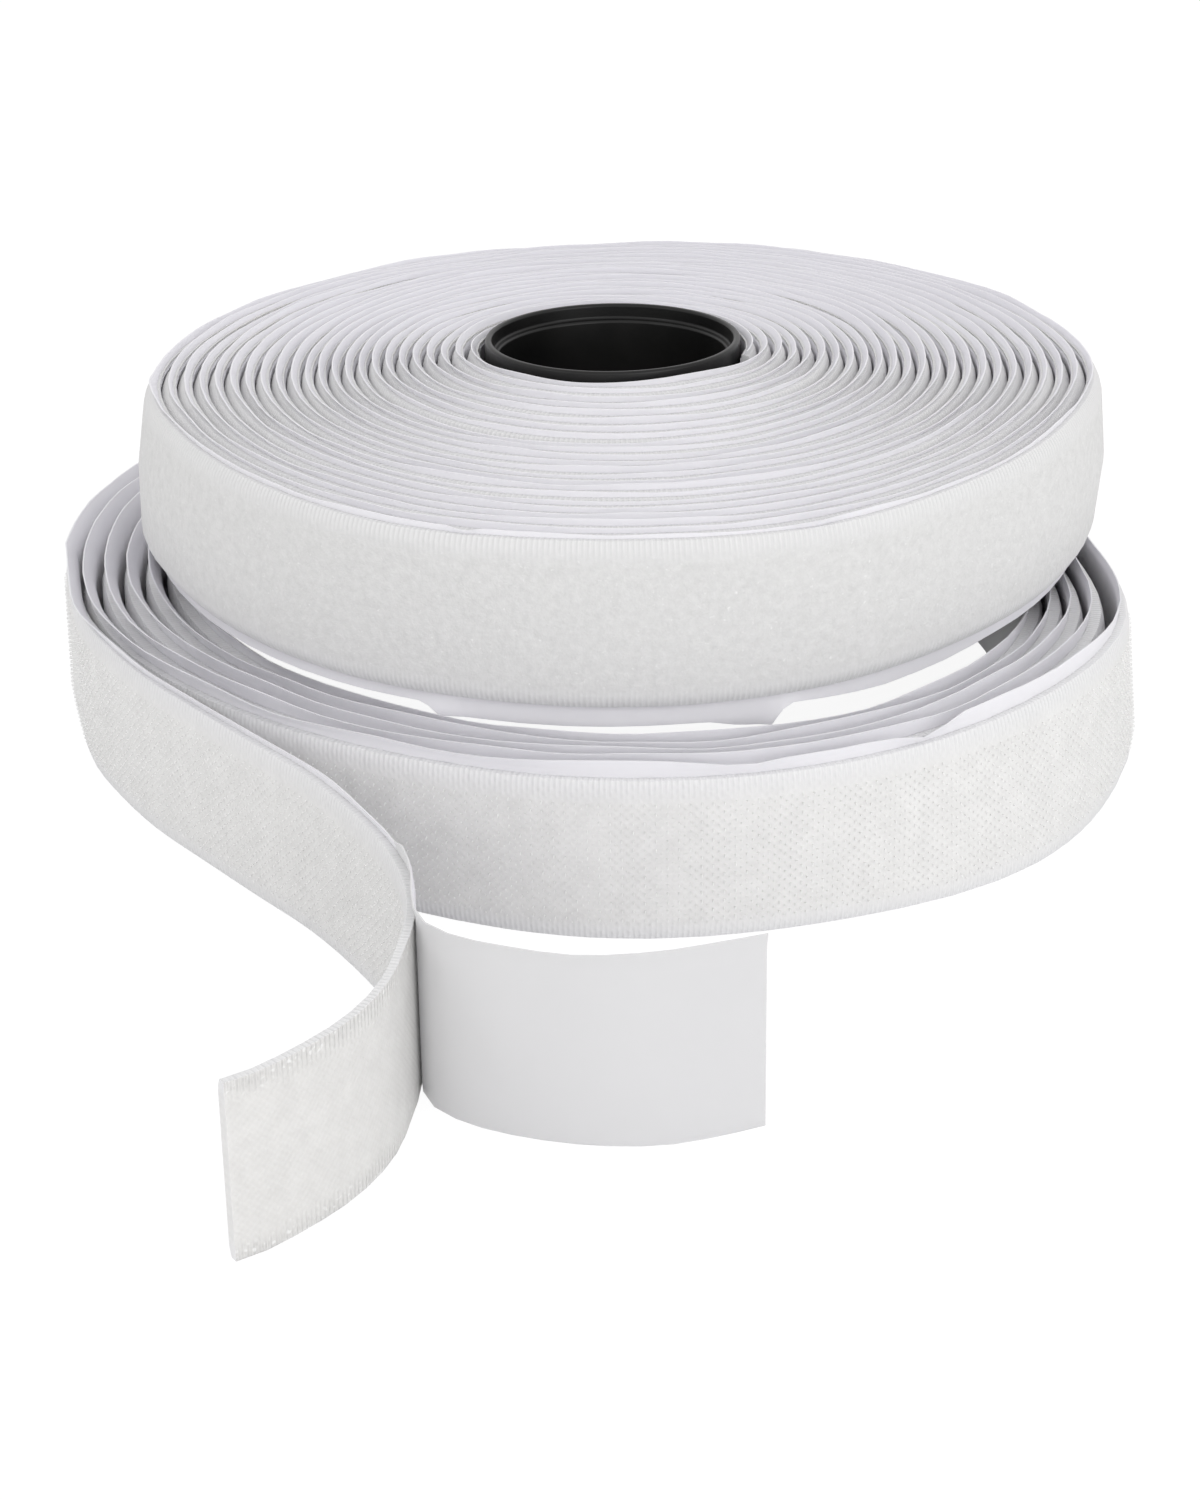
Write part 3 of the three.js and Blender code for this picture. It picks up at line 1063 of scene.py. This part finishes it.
def sow_hooks(name, start, length):
    """Repeats two hooks, set out of step, over this stretch of the flat tape."""
    next_x = start + hook_pitch.x * 3 / 4
    next_z = lowest_hook + hook_pitch.y / 2
    first = model_hook(name, start + hook_pitch.x / 4, lowest_hook, 1)
    second = model_hook("second_hook", next_x, next_z, -1)
    bpy.ops.object.select_all(action="DESELECT")
    second.select_set(True)
    first.select_set(True)
    bpy.context.view_layer.objects.active = first
    bpy.ops.object.join()
    apply_to(
        first, "ARRAY", count=hook_rows, use_relative_offset=False, use_constant_offset=True,
        constant_offset_displace=(0, 0, hook_pitch.y),
    )
    apply_to(
        first, "ARRAY", count=int(length / hook_pitch.x), use_relative_offset=False,
        use_constant_offset=True, constant_offset_displace=(hook_pitch.x, 0, 0),
    )
    bpy.ops.object.select_all(action="DESELECT")
    return first


hooks = sow_hooks(
    "hook_rows_outer", tape_length - hooked_length, hooked_length - hook_end_margin
)
places = places_of(hooks)
along = places[:, 0].copy()
wind(hooks, tape_line)
places = places_of(hooks)
lean_hook_turns(places, along, coil_length)
move_to(hooks, places)


def thread_material():
    """Clear white nylon thread."""
    material, tree, skin = shader("hook_thread")
    place = node(tree, "TexCoord").outputs["Object"]
    shade = noise(tree, place, scale=700.0, detail=1.0)
    tone = ramp(tree, shade, (0.35, thread_shade), (0.65, thread_light))
    tree.links.new(tone, skin.inputs["Base Color"])
    skin.inputs["Roughness"].default_value = 0.3
    scatter(skin, 0.6, 0.0008)
    return material


hook_nylon = thread_material()
hooks.data.materials.append(hook_nylon)
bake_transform(hooks)
bpy.data.objects.remove(tape_line)

# Hook tape's liner
# The film that covers the adhesive, on the inside of every turn and standing proud above the
# tape. It leaves the tape at the peel line and curls along the front of the roll.
liner_inset = hook_thickness + liner_thickness / 2
hook_front_curl = 0.0004
hook_side_curl = 0.0013
# Its top edge stands less proud on the free end and on the coil's right
leg_sink = 0.0014
dip_before_leg = 0.265
dip_reach = 0.065
dip_depth = 0.0023
liner_sink = 0.0003
hook_liner_waves = ((0.071, 0.0003), (0.029, 0.00015), (0.23, 0.0003))
leg_fade = 0.03
# The creases of its top edge: bearing, reach, how far out and how far up
hook_creases = [
    (-58.0, 0.0045, 0.0012, -0.0012), (-76.0, 0.0060, 0.0006, -0.0005),
    (-98.0, 0.0035, 0.0008, 0.0003), (-126.0, 0.0080, 0.0004, -0.0006),
]
# The peeled film's line, as shares of the coil's radius
peeled_route_shares = [
    (-0.257, -1.471), (-0.229, -1.512), (-0.178, -1.552), (-0.086, -1.59), (0.006, -1.609),
    (0.098, -1.609), (0.178, -1.586), (0.247, -1.557),
]
peeled_steps = 40
# The film lifts off the tape this many steps before the tape is bare
lifted_steps = 4
peel_margin = 0.008
# The peeled film is the same film as the wound liner, but coloured darker: painted shade on the
# free flap.
peeled_painted_shade_low = (0.635, 0.635, 0.643)
peeled_painted_shade_high = (0.655, 0.655, 0.663)
peeled_painted_shade_edge = (0.645, 0.645, 0.653)
peeled_scatter = (0.6, 0.0016)
peeled_points = np.array(peeled_route_shares) * hook_radius
stuck = beside(np.vstack([coil, leg[1:]]), liner_inset)[:-lifted_steps]
peel_at = line_length(stuck) - peel_margin
peeled = smooth_line([*stuck[-2:], *peeled_points], peeled_steps)
liner_line = draw_route("hook_liner_route", in_frame(np.vstack([stuck[:-2], peeled])))
hook_liner = lay_strip(
    "hook_liner_coil", 0, route_length(liner_line), 0, liner_width, liner_rows
)
thicken(hook_liner, liner_thickness, -liner_thickness / 2)
mark_back(hook_liner, liner_thickness / 2)
# The peeled stretch's outer side takes that darker film: painted shade.
for flap in hook_liner.data.polygons:
    if flap.center.x > peel_at and flap.material_index == 0:
        flap.material_index = 2
places = places_of(hook_liner)
along = places[:, 0].copy()
proud = np.clip((places[:, 2] - tape_width) / (liner_width - tape_width), 0, 1)
on_leg = np.clip((along - coil_length) / leg_fade, 0, 1) * (along < peel_at)
sunk = np.exp(-((along - coil_length + dip_before_leg) / dip_reach) ** 2)
places[:, 2] += proud * (
    wave(along, 5, *hook_liner_waves) - liner_sink - leg_sink * on_leg - dip_depth * sunk
)
stuck_coil = stuck[:coil_count + 1]
side = np.clip(-np.cos(bearing_along(stuck_coil, coil_bearings, along)), 0, 1)
curl = hook_front_curl + hook_side_curl * side * (1 - on_leg) * (along < peel_at)
places[:, 1] -= proud ** 2 * curl
for bearing, reach, out, rise in hook_creases:
    spot = length_at(stuck_coil, coil_bearings, math.radians(bearing))
    crease(places, proud, spot, reach, out, rise)
move_to(hook_liner, places)
wind(hook_liner, liner_line)
places = places_of(hook_liner)
lean_hook_turns(places, along, coil_length)
move_to(hook_liner, places)
finish_strip(hook_liner)
hook_liner.data.materials.append(coated_film)
hook_liner.data.materials.append(plain_film)
peeled_film_painted_shade = liner_material(
    "peeled_film_painted_shade", peeled_painted_shade_low, peeled_painted_shade_high, peeled_painted_shade_edge, *peeled_scatter
)
hook_liner.data.materials.append(peeled_film_painted_shade)
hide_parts("hook_liner", "hook_liner_end")
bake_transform(hook_liner)
bpy.data.objects.remove(liner_line)
